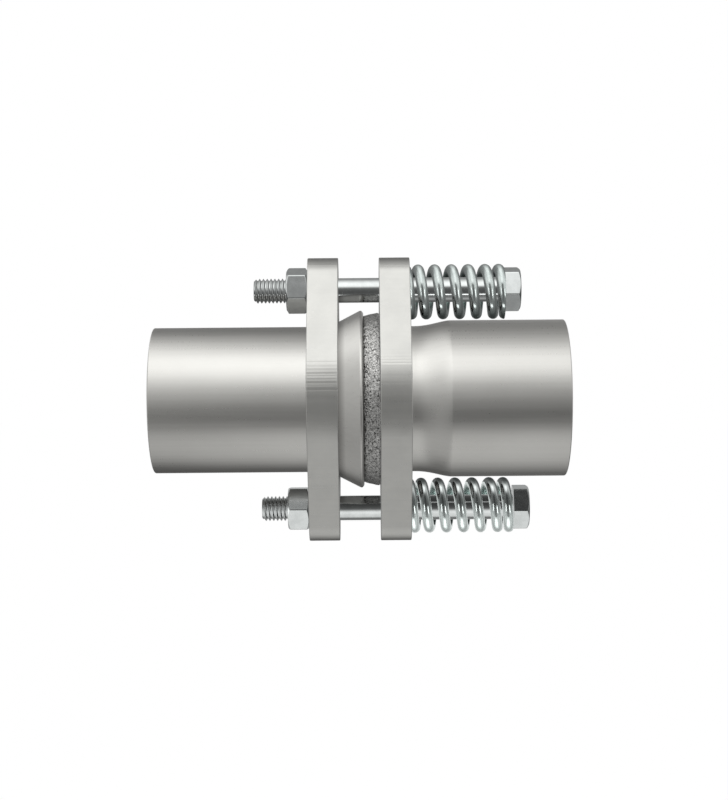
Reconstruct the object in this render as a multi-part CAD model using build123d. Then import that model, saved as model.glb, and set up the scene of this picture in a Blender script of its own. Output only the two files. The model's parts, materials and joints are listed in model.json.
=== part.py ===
from build123d import *
import math
import os

# Spring-loaded spherical exhaust coupling. Millimetres.
# +X runs along the pipes from the inlet to the outlet, +Z up through the two bolts.
# The origin is the centre of the inlet pipe's open end.

# ---------------------------------------------------------------- driving sizes
pipe_od = 57.15           # tube of 2 1/4 inch
pipe_wall = 2.0
inlet_free = 60.5         # inlet pipe from its open end to the inlet flange
flange_t = 12.0           # thickness of both plates
flange_gap = 16.0         # between the two plates
outlet_free = 60.5        # outlet pipe past the outlet flange
edge = 0.4                # broken edges of the pipe ends

bolt_offset = 42.85       # bolt centre from the pipe axis (3 3/8 inch spacing)
lobe_r = 12.8             # rounded ends of the plates
flank_angle = 32.0        # slope of the flat sides, from level
belly_off = 7.6           # centre of each round side, from the pipe axis
flange_edge = 0.35        # broken edges of the plates

flare_angle = 27.2        # half angle of the flared inlet end
flare_tip_x = 81.45       # outermost edge of the flare
flare_tip_r = 35.1
flare_bend_r = 6.0        # bend from tube into flare, outside
loose_gap = 0.875         # inlet flange is loose on its pipe
seat_gap = 0.15           # between the flare and what bears on it

ball_r = 34.2             # spherical face of the gasket
gasket_front_x = 75.0
gasket_bore_gap = 0.1
neck_end_x = 78.0         # outlet tube reaches into the gasket

socket_od = 61.5          # expanded outlet end
socket_wall = 1.95
swell_start = 1.5         # from the flange face to the swell
swell_len = 14.0

bolt_d = 9.7              # M10 shank
thread_d = 9.7
bolt_af = 15.8
head_h = 6.3
bolt_len = 98.45          # under the head
upper_bolt_end = 39.3    # threaded end of the upper bolt
lower_bolt_end = 41.9    # the lower bolt is screwed in less far
nut_af = 16.0
nut_h = 8.4
bolt_hole_r = 5.2         # inlet flange
swing_hole_r = 6.1        # outlet flange, with room for the swing

# turn of the hexagons, from a corner facing -Y, towards +Z
upper_head_turn = -16.0
lower_head_turn = -8.0
upper_nut_turn = -22.0
lower_nut_turn = -1.0

wire_d = 4.2
coil_r = 8.75             # wire centre line
upper_coil_z = 42.0
lower_coil_z = -42.0      # each leans on its bolt
first_pitch = 4.6         # turn on the flange
last_pitch = 4.3          # closed turn under the head

# ---------------------------------------------------------------- places along X
x_fi0 = inlet_free
x_fi1 = x_fi0 + flange_t
x_fo0 = x_fi1 + flange_gap
x_fo1 = x_fo0 + flange_t
x_end = x_fo1 + outlet_free
pipe_r = pipe_od / 2
bore_r = pipe_r - pipe_wall
ta = math.tan(math.radians(flare_angle))
ca = math.cos(math.radians(flare_angle))
sa = math.sin(math.radians(flare_angle))


def flare_out(x):
    """radius of the flare's outer cone"""
    return flare_tip_r + (x - flare_tip_x) * ta


def flare_in(x):
    """radius of the flare's inner cone"""
    return flare_out(x) - pipe_wall / ca


# the ball's centre: its sphere touches the inner cone, less the seat gap
ball_x = flare_tip_x + ((ball_r + seat_gap) / ca + pipe_wall / ca - flare_tip_r) / ta
print("ball centre x", round(ball_x, 3))


def turned(face):
    return revolve(face, axis=Axis.X, revolution_arc=360)


def profile(*items):
    """a closed face in the XY plane from lines and arcs; y is the radius"""
    wire = Wire(list(items))
    return Face(wire)


def path(points, radii):
    """closed polygon with rounded corners: radii[i] rounds points[i]"""
    n = len(points)
    corners = []
    for i in range(n):
        p, a, b = Vector(*points[i]), Vector(*points[i - 1]), Vector(*points[(i + 1) % n])
        r = radii[i]
        if not r:
            corners.append((p, None, p))
            continue
        u, v = (a - p).normalized(), (b - p).normalized()
        half = math.acos(max(-1, min(1, u.dot(v)))) / 2
        d = r / math.tan(half)
        bis = (u + v).normalized()
        centre = p + bis * (r / math.sin(half))
        corners.append((p + u * d, centre - bis * r, p + v * d))
    edges = []
    for i in range(n):
        s, mid, e = corners[i]
        if mid is not None:
            edges.append(Edge.make_three_point_arc(s, mid, e))
        nxt = corners[(i + 1) % n][0]
        if (nxt - e).length > 1e-6:
            edges.append(Edge.make_line(e, nxt))
    return Face(Wire(edges))


# ---------------------------------------------------------------- inlet pipe
x_bend_out = flare_tip_x - (flare_tip_r - pipe_r) / ta
x_bend_in = flare_tip_x - (flare_tip_r - pipe_wall / ca - bore_r) / ta
inlet_pipe = turned(
    path(
        [
            (0, bore_r + edge * 0.6),
            (0, pipe_r - edge),
            (edge, pipe_r),
            (x_bend_out, pipe_r),
            (flare_tip_x, flare_tip_r),
            (flare_tip_x + pipe_wall * sa, flare_tip_r - pipe_wall * ca),
            (x_bend_in, bore_r),
            (edge * 0.6, bore_r),
        ],
        [0, 0, 0, flare_bend_r, 0.25, 0.2, flare_bend_r + pipe_wall, 0],
    )
)

# ---------------------------------------------------------------- flange plates


def plate(x0, x1):
    """two-bolt plate: round ends and round sides joined by flat flanks"""
    g = math.radians(flank_angle)
    sg, cg = math.sin(g), math.cos(g)
    belly_r = bolt_offset * sg + lobe_r - belly_off * cg
    # (y, z) of the tangent points on the side arc and on the end arc
    b = (belly_off + belly_r * cg, belly_r * sg)
    l = (lobe_r * cg, bolt_offset + lobe_r * sg)
    wide = belly_off + belly_r
    print("plate half width", round(wide, 2), "side radius", round(belly_r, 2))
    yz = Plane(origin=(x0, 0, 0), x_dir=(0, 1, 0), z_dir=(1, 0, 0))
    e = [
        Edge.make_three_point_arc((b[0], -b[1]), (wide, 0), (b[0], b[1])),
        Edge.make_line(b, l),
        Edge.make_three_point_arc(l, (0, bolt_offset + lobe_r), (-l[0], l[1])),
        Edge.make_line((-l[0], l[1]), (-b[0], b[1])),
        Edge.make_three_point_arc((-b[0], b[1]), (-wide, 0), (-b[0], -b[1])),
        Edge.make_line((-b[0], -b[1]), (-l[0], -l[1])),
        Edge.make_three_point_arc((-l[0], -l[1]), (0, -bolt_offset - lobe_r), (l[0], -l[1])),
        Edge.make_line((l[0], -l[1]), (b[0], -b[1])),
    ]
    face = yz * Face(Wire(e))
    solid = extrude(face, amount=x1 - x0, dir=(1, 0, 0))
    rims = solid.edges().filter_by_position(Axis.X, x0 - 0.01, x0 + 0.01) + solid.edges().filter_by_position(
        Axis.X, x1 - 0.01, x1 + 0.01
    )
    return fillet(rims, flange_edge)


def rod(x0, x1, r, z=0.0):
    """round bar along X"""
    return Pos(x0, 0, z) * (Rot(0, 90, 0) * Cylinder(r, x1 - x0, align=(Align.CENTER, Align.CENTER, Align.MIN)))


def drilled(plate_solid, x0, x1, r):
    """two bolt holes with broken edges"""
    for s in (1, -1):
        plate_solid = plate_solid - rod(x0 - 1, x1 + 1, r, s * bolt_offset)
        for xa, d in ((x0, 1), (x1, -1)):
            cone = turned(
                path([(xa - d, 0), (xa - d, r + 0.4 + 1), (xa + d * 0.4, r), (xa + d * 0.4, 0)], [0, 0, 0, 0])
            )
            plate_solid = plate_solid - Pos(0, 0, s * bolt_offset) * cone
    return plate_solid


# inlet flange: loose on the tube, with a conical seat for the back of the flare
hole_r = pipe_r + loose_gap
seat_x = flare_tip_x - (flare_tip_r + seat_gap / ca - hole_r) / ta
inlet_flange = drilled(plate(x_fi0, x_fi1), x_fi0, x_fi1, bolt_hole_r)
inlet_flange = inlet_flange - turned(
    path(
        [
            (x_fi0 - 1, 0),
            (x_fi0 - 1, hole_r + 1.5),
            (x_fi0 + 0.5, hole_r),
            (seat_x, hole_r),
            (x_fi1 + 1, flare_out(x_fi1 + 1) + seat_gap / ca),
            (x_fi1 + 1, 0),
        ],
        [0, 0, 0, 2.0, 0, 0],
    )
)

# outlet flange: fixed on the neck of the outlet tube
outlet_flange = drilled(plate(x_fo0, x_fo1), x_fo0, x_fo1, swing_hole_r)
outlet_flange = outlet_flange - rod(x_fo0 - 1, x_fo1 + 1, pipe_r + 0.02)

# ---------------------------------------------------------------- outlet pipe
socket_r = socket_od / 2
socket_bore_r = socket_r - socket_wall
xs0 = x_fo1 + swell_start
xs1 = xs0 + swell_len


def swell(r0, r1):
    """points of the smooth swell between two radii, level at both ends"""
    pts = []
    for i in range(0, 13):
        t = i / 12
        s = t * t * (3 - 2 * t)
        s = s * (0.45 + 0.55 * t)
        s = s / (1 * (0.45 + 0.55))
        pts.append((xs0 + swell_len * t, r0 + (r1 - r0) * s))
    return pts


def swell_edge(r0, r1, back=False):
    e = Edge.make_spline([Vector(*p) for p in swell(r0, r1)], tangents=[Vector(1, 0), Vector(1, 0)])
    return e


out_a = swell_edge(pipe_r, socket_r)
out_b = swell_edge(bore_r, socket_bore_r)
outlet_face = Face(
    Wire(
        [
            Edge.make_line((neck_end_x, bore_r + 0.3), (neck_end_x, pipe_r - 0.3)),
            Edge.make_line((neck_end_x, pipe_r - 0.3), (neck_end_x + 0.3, pipe_r)),
            Edge.make_line((neck_end_x + 0.3, pipe_r), (xs0, pipe_r)),
            out_a,
            Edge.make_line((xs1, socket_r), (x_end - edge, socket_r)),
            Edge.make_line((x_end - edge, socket_r), (x_end, socket_r - edge)),
            Edge.make_line((x_end, socket_r - edge), (x_end, socket_bore_r + edge * 0.6)),
            Edge.make_line((x_end, socket_bore_r + edge * 0.6), (x_end - edge * 0.6, socket_bore_r)),
            Edge.make_line((x_end - edge * 0.6, socket_bore_r), (xs1, socket_bore_r)),
            out_b,
            Edge.make_line((xs0, bore_r), (neck_end_x + 0.3, bore_r)),
            Edge.make_line((neck_end_x + 0.3, bore_r), (neck_end_x, bore_r + 0.3)),
        ]
    )
)
outlet_pipe = turned(outlet_face)

# ---------------------------------------------------------------- gasket ring
g_bore = pipe_r + gasket_bore_gap
g_back = x_fo0
g_back_r = math.sqrt(ball_r**2 - (g_back - ball_x) ** 2)
g_front_r = math.sqrt(ball_r**2 - (gasket_front_x - ball_x) ** 2)
back_round = 0.9


def ball(x):
    return math.sqrt(ball_r**2 - (x - ball_x) ** 2)


xm = (gasket_front_x + g_back - back_round) / 2
gasket = turned(
    Face(
        Wire(
            [
                Edge.make_line((gasket_front_x, g_bore), (gasket_front_x, g_front_r)),
                Edge.make_three_point_arc(
                    (gasket_front_x, g_front_r), (xm, ball(xm)), (g_back - back_round, ball(g_back - back_round))
                ),
                Edge.make_line((g_back - back_round, ball(g_back - back_round)), (g_back, g_back_r - back_round)),
                Edge.make_line((g_back, g_back_r - back_round), (g_back, g_bore)),
                Edge.make_line((g_back, g_bore), (gasket_front_x, g_bore)),
            ]
        )
    )
)

# ---------------------------------------------------------------- bolts and nuts


def hexagon(x0, x1, af, z, turn):
    """hexagonal prism along X; a corner points to -Y when turn is 0"""
    rc = af / math.sqrt(3)
    pts = []
    for k in range(6):
        a = math.radians(turn + 60 * k)
        pts.append(Vector(x0, -rc * math.cos(a), z + rc * math.sin(a)))
    w = Wire([Edge.make_line(pts[i], pts[(i + 1) % 6]) for i in range(6)])
    return extrude(Face(w), amount=x1 - x0, dir=(1, 0, 0))


def crown(x0, x1, af, z, left, right):
    """turned blank that rounds a hexagon's corners at its ends"""
    rc = af / math.sqrt(3)
    face_r = af / 2 * 0.95
    drop = (rc + 0.3 - face_r) * math.tan(math.radians(30))
    pts = [(x0, 0)]
    pts += [(x0, face_r), (x0 + drop, rc + 0.3)] if left else [(x0, rc + 0.3)]
    pts += [(x1 - drop, rc + 0.3), (x1, face_r)] if right else [(x1, rc + 0.3)]
    pts += [(x1, 0)]
    return Pos(0, 0, z) * turned(path(pts, [0] * len(pts)))


def bolt(x_tip, z, turn):
    x_head = x_tip + bolt_len
    shank = Pos(0, 0, z) * turned(
        path(
            [
                (x_tip, 0),
                (x_tip, thread_d / 2 - 1.1),
                (x_tip + 1.1, thread_d / 2),
                (x_head + 0.5, thread_d / 2),
                (x_head + 0.5, 0),
            ],
            [0] * 5,
        )
    )
    head = hexagon(x_head, x_head + head_h, bolt_af, z, turn)
    head = head & crown(x_head, x_head + head_h, bolt_af, z, False, True)
    return shank + head


def nut(x1, z, turn):
    x0 = x1 - nut_h
    body = hexagon(x0, x1, nut_af, z, turn) & crown(x0, x1, nut_af, z, True, True)
    return body - rod(x0 - 1, x1 + 1, thread_d / 2 + 0.01, z)


upper_bolt = bolt(upper_bolt_end, bolt_offset, upper_head_turn)
lower_bolt = bolt(lower_bolt_end, -bolt_offset, lower_head_turn)
upper_nut = nut(x_fi0, bolt_offset, upper_nut_turn)
lower_nut = nut(x_fi0, -bolt_offset, lower_nut_turn)

# ---------------------------------------------------------------- springs


def coil(x0, x1, z, start, spare, n0, n1):
    """right-handed compression spring with closed, ground ends between x0 and x1
    start: wire centre past x0 at turn 0; spare: wire centre short of x1 at turn 6"""
    length = x1 - x0
    # the pitch changes evenly over the spans a..b and c..d, in turns
    a, b, c, d = 0.15, 0.75, 4.85, 5.15
    span = length - start - spare
    fixed = first_pitch * (a + (b - a) / 2) + last_pitch * ((d - c) / 2 + 6 - d)
    open_pitch = (span - fixed) / ((b - a) / 2 + (c - b) + (d - c) / 2)

    def at(n):
        """wire centre past x0 at turn n"""
        x = start + first_pitch * min(n, a)
        for lo, hi, p, q in ((a, b, first_pitch, open_pitch), (b, c, open_pitch, open_pitch), (c, d, open_pitch, last_pitch)):
            t = min(max(n - lo, 0), hi - lo)
            x += p * t + (q - p) * t * t / (2 * (hi - lo))
        return x + last_pitch * max(n - d, 0)

    # the wire's path: short runs round the coil joined by tangent arcs
    per = 10
    half = math.pi / per
    corner_r = coil_r / math.cos(half)
    steps = int(round((n1 - n0) * per))
    pts = []
    for i in range(steps + 1):
        n = n0 + i / per
        t = 2 * math.pi * n
        # n = 0 is the bottom; the front (-Y) strand falls towards +X
        pts.append(Vector(x0 + at(n), corner_r * math.sin(t), z - corner_r * math.cos(t)))
    line = FilletPolyline(*pts, radius=[coil_r * 0.965] * (len(pts) - 2))
    ring = Face(Wire.make_circle(wire_d / 2, Plane(origin=pts[0], z_dir=pts[1] - pts[0])))
    wire = sweep(ring, path=line)
    print("coil pitch", round(open_pitch, 3), "length", round(length, 3), [round(at(n), 2) for n in range(7)])
    keep = rod(x0, x1, coil_r + wire_d, z)
    return wire & keep


upper_spring = coil(x_fo1, upper_bolt_end + bolt_len, upper_coil_z, 0.8, 0.05, -0.5, 6.3)
lower_spring = coil(x_fo1, lower_bolt_end + bolt_len, lower_coil_z, 1.45, 1.5, -0.6, 6.2)

# ---------------------------------------------------------------- export
nodes = {
    "inlet_pipe": inlet_pipe,
    "inlet_flange": inlet_flange,
    "gasket": gasket,
    "outlet_flange": outlet_flange,
    "outlet_pipe": outlet_pipe,
    "upper_bolt": upper_bolt,
    "lower_bolt": lower_bolt,
    "upper_nut": upper_nut,
    "lower_nut": lower_nut,
    "upper_spring": upper_spring,
    "lower_spring": lower_spring,
}
os.makedirs("parts", exist_ok=True)
for name, shape in nodes.items():
    solids = shape.solids()
    print(name, len(solids), "solid", round(sum(s.volume for s in solids), 1), "mm3")
    export_step(solids[0] if len(solids) == 1 else Compound(children=list(solids)), f"parts/{name}.step")
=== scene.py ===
import json
import math
import random

import bmesh
import bpy
import numpy as np
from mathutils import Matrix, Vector
from mathutils.geometry import tessellate_polygon

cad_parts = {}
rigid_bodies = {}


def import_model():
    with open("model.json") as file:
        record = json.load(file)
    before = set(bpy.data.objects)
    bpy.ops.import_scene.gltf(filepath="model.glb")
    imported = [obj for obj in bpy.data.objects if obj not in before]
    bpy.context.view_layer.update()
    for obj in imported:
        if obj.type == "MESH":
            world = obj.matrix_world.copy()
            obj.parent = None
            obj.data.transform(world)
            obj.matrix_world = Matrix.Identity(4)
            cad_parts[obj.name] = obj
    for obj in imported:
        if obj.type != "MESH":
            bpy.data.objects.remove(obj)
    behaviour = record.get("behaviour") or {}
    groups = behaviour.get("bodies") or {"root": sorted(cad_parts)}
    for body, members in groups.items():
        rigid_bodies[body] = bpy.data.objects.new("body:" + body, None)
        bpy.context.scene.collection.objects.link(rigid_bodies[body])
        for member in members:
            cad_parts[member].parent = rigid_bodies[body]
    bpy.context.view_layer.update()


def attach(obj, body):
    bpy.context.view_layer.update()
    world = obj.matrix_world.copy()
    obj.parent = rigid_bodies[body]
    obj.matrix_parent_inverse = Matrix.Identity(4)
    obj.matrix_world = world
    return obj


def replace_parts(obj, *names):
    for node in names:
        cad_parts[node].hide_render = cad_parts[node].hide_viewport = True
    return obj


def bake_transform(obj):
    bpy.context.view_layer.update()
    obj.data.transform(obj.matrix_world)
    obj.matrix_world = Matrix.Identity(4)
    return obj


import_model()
scene = bpy.context.scene
MM = 0.001

# ------------------------------------------------------------------ camera
cam_data = bpy.data.cameras.new("camera")
cam = bpy.data.objects.new("camera", cam_data)
scene.collection.objects.link(cam)
cam.location = (0.08225, -0.6901, -0.00037)
cam.rotation_euler = (math.radians(90), math.radians(0.47), 0)
cam_data.sensor_width = 36
cam_data.lens = 78.79
cam_data.clip_start, cam_data.clip_end = 0.01, 60
scene.camera = cam

# ------------------------------------------------------------------ sizes (mm), as in the part
PIPE_R, BORE_R, WALL = 28.575, 26.575, 2.0
X_FI0, X_FI1, X_FO0, X_FO1, X_END = 60.5, 72.5, 88.5, 100.5, 161.0
BOLT_Z, LOBE_R, FLANK, BELLY_Y, FL_EDGE = 42.85, 12.8, math.radians(32.0), 7.6, 0.35
UP_TIP, LOW_TIP, BOLT_LEN, HEAD_H = 39.3, 41.9, 98.45, 6.3
FLARE_A, TIP_X, TIP_R, BEND_R = math.radians(27.2), 81.45, 35.1, 6.0
TA, CA, SA = math.tan(FLARE_A), math.cos(FLARE_A), math.sin(FLARE_A)
LOOSE, SEAT = 0.875, 0.15
BALL_R, BALL_X, GF_X = 34.2, 92.676, 75.0
NECK_X = 78.0
SOCK_R, SOCK_B = 30.75, 28.8
XS0, XS1 = 102.0, 116.0
THREAD_R, PITCH = 4.85, 1.5
WIRE_R, COIL_R = 2.1, 8.75
FIRST_PITCH, LAST_PITCH = 4.6, 4.3


# ------------------------------------------------------------------ mesh helpers
def make(name, verts, faces, mat, sharp=32, merge=0.0, weighted=True, fix=True):
    """A mesh object from points in mm."""
    bm = bmesh.new()
    vs = [bm.verts.new((p[0] * MM, p[1] * MM, p[2] * MM)) for p in verts]
    bm.verts.ensure_lookup_table()
    for f in faces:
        if len(set(f)) < 3:
            continue
        try:
            bm.faces.new([vs[i] for i in f])
        except ValueError:
            pass
    if merge:
        bmesh.ops.remove_doubles(bm, verts=bm.verts, dist=merge * MM)
        bmesh.ops.dissolve_degenerate(bm, edges=bm.edges, dist=merge * MM * 0.5)
    loose = [v for v in bm.verts if not v.link_faces]
    bmesh.ops.delete(bm, geom=loose, context="VERTS")
    if fix:
        bmesh.ops.recalc_face_normals(bm, faces=bm.faces)
    me = bpy.data.meshes.new(name)
    bm.to_mesh(me)
    bm.free()
    me.polygons.foreach_set("use_smooth", [True] * len(me.polygons))
    me.set_sharp_from_angle(angle=math.radians(sharp))
    ob = bpy.data.objects.new(name, me)
    scene.collection.objects.link(ob)
    me.materials.append(mat)
    if weighted:
        m = ob.modifiers.new("normals", "WEIGHTED_NORMAL")
        m.mode = "FACE_AREA"
        m.weight = 60
        m.keep_sharp = True
    return ob


def rounded(points, radii, seg_deg=9.0):
    """Closed polygon whose corners are rounded: radii[i] rounds points[i]."""
    out, n = [], len(points)
    for i in range(n):
        p = np.array(points[i], float)
        a = np.array(points[i - 1], float)
        b = np.array(points[(i + 1) % n], float)
        r = radii[i]
        if not r:
            out.append(tuple(p))
            continue
        u, v = (a - p) / np.linalg.norm(a - p), (b - p) / np.linalg.norm(b - p)
        half = math.acos(max(-1.0, min(1.0, float(u @ v)))) / 2
        d = r / math.tan(half)
        bis = (u + v) / np.linalg.norm(u + v)
        c = p + bis * (r / math.sin(half))
        s, e = p + u * d - c, p + v * d - c
        turn = math.pi - 2 * half
        k = max(2, int(math.ceil(math.degrees(turn) / seg_deg)))
        sign = 1 if s[0] * e[1] - s[1] * e[0] > 0 else -1
        for j in range(k + 1):
            t = sign * turn * j / k
            out.append(
                (
                    c[0] + s[0] * math.cos(t) - s[1] * math.sin(t),
                    c[1] + s[0] * math.sin(t) + s[1] * math.cos(t),
                )
            )
    return out


def lathe(profile, segs, y=0.0, z=0.0):
    """Closed (x, r) profile turned round the X axis: points and faces."""
    verts, faces, n = [], [], len(profile)
    for j in range(segs):
        t = 2 * math.pi * j / segs
        c, s = math.cos(t), math.sin(t)
        for x, r in profile:
            verts.append((x, y + r * c, z + r * s))
    for j in range(segs):
        k = (j + 1) % segs
        for i in range(n):
            m = (i + 1) % n
            faces.append((j * n + i, k * n + i, k * n + m, j * n + m))
    return verts, faces


# ------------------------------------------------------------------ material helpers
def new_mat(name):
    m = bpy.data.materials.new(name)
    m.use_nodes = True
    nt = m.node_tree
    nt.nodes.clear()
    out = nt.nodes.new("ShaderNodeOutputMaterial")
    bsdf = nt.nodes.new("ShaderNodeBsdfPrincipled")
    nt.links.new(bsdf.outputs["BSDF"], out.inputs["Surface"])
    bsdf.inputs["Metallic"].default_value = 1.0
    return m, nt, bsdf


def coords(nt, scale=(1, 1, 1), rot=(0, 0, 0)):
    tc = nt.nodes.new("ShaderNodeTexCoord")
    mp = nt.nodes.new("ShaderNodeMapping")
    mp.inputs["Scale"].default_value = scale
    mp.inputs["Rotation"].default_value = rot
    nt.links.new(tc.outputs["Object"], mp.inputs["Vector"])
    return mp.outputs["Vector"]


def noise(nt, vec, scale, detail=3.0, rough=0.5, dist=0.0):
    n = nt.nodes.new("ShaderNodeTexNoise")
    n.inputs["Scale"].default_value = scale
    n.inputs["Detail"].default_value = detail
    n.inputs["Roughness"].default_value = rough
    n.inputs["Distortion"].default_value = dist
    nt.links.new(vec, n.inputs["Vector"])
    return n.outputs["Fac"]


def remap(nt, val, a, b, c, d, clamp=True):
    n = nt.nodes.new("ShaderNodeMapRange")
    n.clamp = clamp
    n.inputs["From Min"].default_value = a
    n.inputs["From Max"].default_value = b
    n.inputs["To Min"].default_value = c
    n.inputs["To Max"].default_value = d
    nt.links.new(val, n.inputs["Value"])
    return n.outputs["Result"]


def math_node(nt, op, a, b=None, c=None):
    n = nt.nodes.new("ShaderNodeMath")
    n.operation = op
    for i, v in enumerate((a, b, c)):
        if v is None:
            continue
        if isinstance(v, (int, float)):
            n.inputs[i].default_value = v
        else:
            nt.links.new(v, n.inputs[i])
    return n.outputs[0]


def mix_col(nt, fac, a, b):
    n = nt.nodes.new("ShaderNodeMix")
    n.data_type = "RGBA"
    nt.links.new(fac, n.inputs[0])
    for i, v in ((6, a), (7, b)):
        if isinstance(v, tuple):
            n.inputs[i].default_value = (*v, 1.0)
        else:
            nt.links.new(v, n.inputs[i])
    return n.outputs[2]


def bump(nt, height, strength, distance, normal=None):
    n = nt.nodes.new("ShaderNodeBump")
    n.inputs["Strength"].default_value = strength
    n.inputs["Distance"].default_value = distance
    nt.links.new(height, n.inputs["Height"])
    if normal is not None:
        nt.links.new(normal, n.inputs["Normal"])
    return n.outputs["Normal"]


def satin_steel(name, dark, light, r0, r1, grain=0.05, streak=0.5, stretch=(14, 700, 700), blotch=45, pits=0.0):
    """Rolled or drawn steel: cloudy tone, faint drawing lines along X, fine grain."""
    m, nt, b = new_mat(name)
    plain = coords(nt)
    cloud = noise(nt, plain, blotch, 3.0, 0.55)
    lines = noise(nt, coords(nt, stretch), 1.0, 3.0, 0.5)
    fine = noise(nt, plain, 1500, 2.0, 0.5)
    tone = math_node(nt, "ADD", math_node(nt, "MULTIPLY", cloud, 1 - streak), math_node(nt, "MULTIPLY", lines, streak))
    col = mix_col(nt, remap(nt, tone, 0.36, 0.64, 0.0, 1.0), dark, light)
    nt.links.new(col, b.inputs["Base Color"])
    rr = math_node(nt, "ADD", math_node(nt, "MULTIPLY", lines, 0.5), math_node(nt, "MULTIPLY", fine, 0.5))
    nt.links.new(remap(nt, rr, 0.33, 0.67, r0, r1), b.inputs["Roughness"])
    top = bump(nt, lines, grain, 0.00002)
    if pits:
        top = bump(nt, fine, pits, 0.00003, top)
    nt.links.new(top, b.inputs["Normal"])
    return m


# ------------------------------------------------------------------ materials
pipe_mat = satin_steel("pipe_steel", (0.648, 0.641, 0.612), (0.69, 0.684, 0.654), 0.27, 0.32, grain=0.012)
nt = pipe_mat.node_tree
shell = nt.nodes["Principled BSDF"].inputs["Base Color"]
place = nt.nodes.new("ShaderNodeSeparateXYZ")
nt.links.new(coords(nt), place.inputs[0])
# painted shade: the inlet pipe is darkened where it runs inside the inlet flange's bore and on a strip of the flare
# beside the flange
under = math_node(nt, "MULTIPLY", remap(nt, place.outputs[0], 0.0612, 0.0620, 0.0, 1.0), remap(nt, place.outputs[0], 0.0728, 0.0752, 0.62, 0.0))
nt.links.new(mix_col(nt, under, shell.links[0].from_socket, (0.16, 0.155, 0.145)), shell)
plate_mat = satin_steel(
    "plate_steel", (0.60, 0.599, 0.573), (0.66, 0.658, 0.628), 0.27, 0.33, grain=0.035, streak=0.35,
    stretch=(30, 500, 500), blotch=90, pits=0.012,
)


def zinc(name, dark, light, r0, r1, grain, painted_shade_colour=None):
    """Bright zinc plating: slightly cloudy and bluish. When a shade colour is given, a painted highlight and a painted
    shade carried by the mesh are mixed into the colour.
    """
    m, nt, b = new_mat(name)
    plain = coords(nt)
    cloud = noise(nt, plain, 260, 4.0, 0.6)
    fine = noise(nt, plain, 3200, 2.0, 0.5)
    col = mix_col(nt, remap(nt, cloud, 0.35, 0.65, 0, 1), dark, light)
    if painted_shade_colour:
        # painted highlight and painted shade, as given by the mesh's attributes
        for layer, colour in (("bright", (0.94, 0.96, 0.955)), ("lee", painted_shade_colour)):
            att = nt.nodes.new("ShaderNodeAttribute")
            att.attribute_name = layer
            att.attribute_type = "GEOMETRY"
            col = mix_col(nt, att.outputs["Fac"], col, colour)
    nt.links.new(col, b.inputs["Base Color"])
    nt.links.new(remap(nt, cloud, 0.3, 0.7, r0, r1), b.inputs["Roughness"])
    nt.links.new(bump(nt, fine, grain, 0.00002), b.inputs["Normal"])
    return m


bolt_mat = zinc("zinc_fastener", (0.61, 0.625, 0.62), (0.70, 0.715, 0.71), 0.10, 0.15, 0.06)
# the spring wire carries a painted highlight and a painted shade in its colour
wire_mat = zinc("zinc_wire", (0.57, 0.605, 0.595), (0.66, 0.69, 0.68), 0.10, 0.17, 0.05, painted_shade_colour=(0.13, 0.17, 0.16))

# pressed wire mesh: bright wires over graphite, driven by the mesh's own height
mesh_mat, nt, b = new_mat("mesh_ring")
att = nt.nodes.new("ShaderNodeAttribute")
att.attribute_name = "wire"
att.attribute_type = "GEOMETRY"
plain = coords(nt)
speck = noise(nt, plain, 2600, 3.0, 0.75)
patch = noise(nt, plain, 260, 2.0, 0.5)
wire_fac = math_node(nt, "MULTIPLY", remap(nt, att.outputs["Fac"], 0.18, 0.66, 0, 1), remap(nt, speck, 0.37, 0.57, 0.24, 1.0))
wire_fac = math_node(nt, "MULTIPLY", wire_fac, remap(nt, patch, 0.3, 0.7, 0.80, 1.0))
nt.links.new(mix_col(nt, wire_fac, (0.055, 0.055, 0.053), (0.90, 0.895, 0.87)), b.inputs["Base Color"])
nt.links.new(remap(nt, wire_fac, 0, 1, 0.45, 0.28), b.inputs["Roughness"])
nt.links.new(bump(nt, speck, 0.5, 0.00006), b.inputs["Normal"])

# ------------------------------------------------------------------ inlet pipe, flared at its end


def flare_out(x):
    return TIP_R + (x - TIP_X) * TA


x_bend_out = TIP_X - (TIP_R - PIPE_R) / TA
x_bend_in = TIP_X - (TIP_R - WALL / CA - BORE_R) / TA
inlet_profile = rounded(
    [
        (0, BORE_R),
        (0, PIPE_R),
        (x_bend_out, PIPE_R),
        (TIP_X, TIP_R),
        (TIP_X + WALL * SA, TIP_R - WALL * CA),
        (x_bend_in, BORE_R),
    ],
    [0.35, 0.45, BEND_R, 0.9, 0.5, BEND_R + WALL],
    6.0,
)
v, f = lathe(inlet_profile, 288)
inlet = make("inlet_pipe_visual", v, f, pipe_mat)
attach(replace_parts(inlet, "inlet_pipe"), "inlet")

# ------------------------------------------------------------------ outlet pipe with its swelled socket


def swell(r0, r1, n=28):
    pts = []
    for i in range(n + 1):
        t = i / n
        s = t * t * (3 - 2 * t) * (0.45 + 0.55 * t)
        pts.append((XS0 + (XS1 - XS0) * t, r0 + (r1 - r0) * s))
    return pts


def soft_end(x, r_in, r_out, a, b):
    """rounded cut edge at a pipe's end, from the outside to the inside"""
    pts = []
    for i in range(7):
        t = math.pi / 2 * i / 6
        pts.append((x - a + a * math.sin(t), r_out - a + a * math.cos(t)))
    for i in range(7):
        t = math.pi / 2 * i / 6
        pts.append((x - b + b * math.cos(t), r_in + b - b * math.sin(t)))
    return pts


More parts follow.
